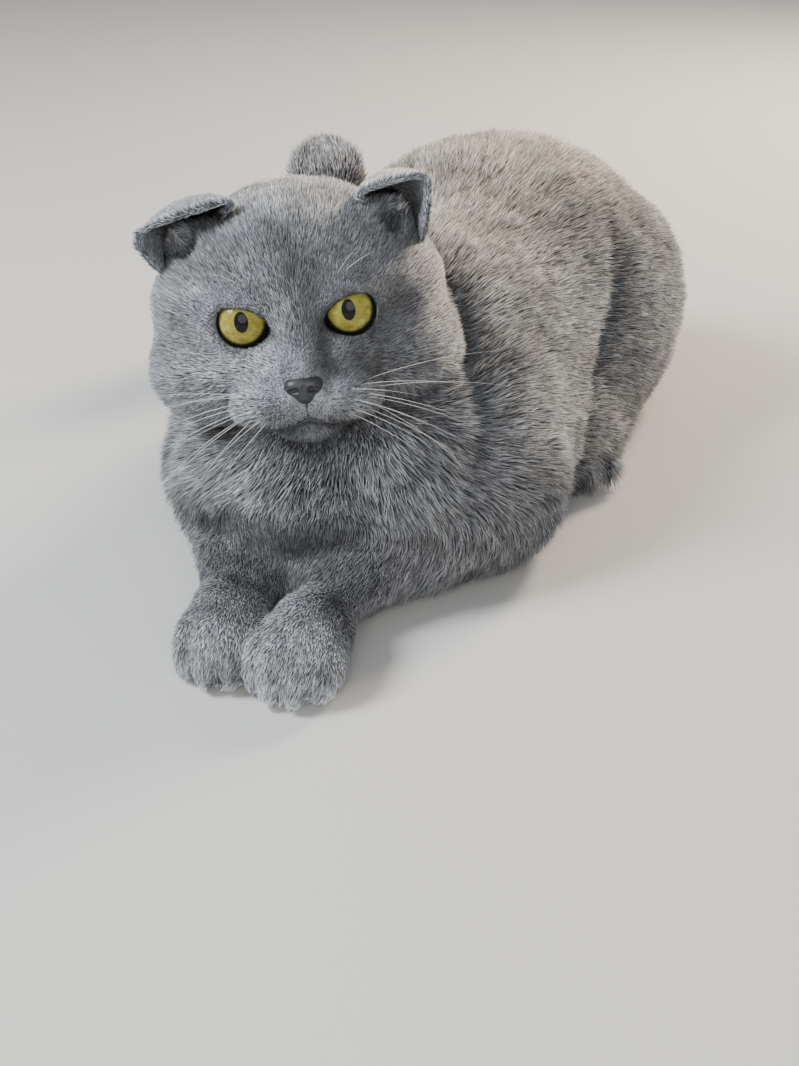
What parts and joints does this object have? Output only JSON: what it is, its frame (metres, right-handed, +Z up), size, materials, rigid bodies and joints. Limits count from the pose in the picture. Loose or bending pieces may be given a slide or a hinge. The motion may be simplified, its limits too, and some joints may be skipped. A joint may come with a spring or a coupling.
{
  "type": "scottish fold cat",
  "caption": "Life-size still model of a grey scottish fold cat lying down, forepaws stretched out in front, head turned to its left, tail curled round its right side.",
  "frame": {"origin": "the point of the floor under the middle of the body, on the flat of the belly", "axes": "+Y from the head to the rump along the body, +X to the cat's left, +Z up; the floor is at Z = 0"},
  "size_m": [0.2399, 0.4555, 0.167],
  "materials": {
    "coat": "dense short plush fur, blue grey with silver tips",
    "eye": "clear wet surface over a yellow-green iris and a dark pupil",
    "nose_leather": "dark slate skin, slightly damp"
  },
  "bodies": {
    "root": {"head": "coat", "ear_left": "coat", "ear_right": "coat", "neck": "coat", "torso": "coat", "thigh_left": "coat", "thigh_right": "coat", "front_leg_left": "coat", "front_leg_right": "coat", "front_paw_left": "coat", "front_paw_right": "coat", "hind_paw_left": "coat", "hind_paw_right": "coat", "tail_root": "coat", "tail_middle": "coat", "tail_tip": "coat", "eye_left": "eye", "eye_right": "eye", "nose": "nose_leather"}
  },
  "joints": []
}
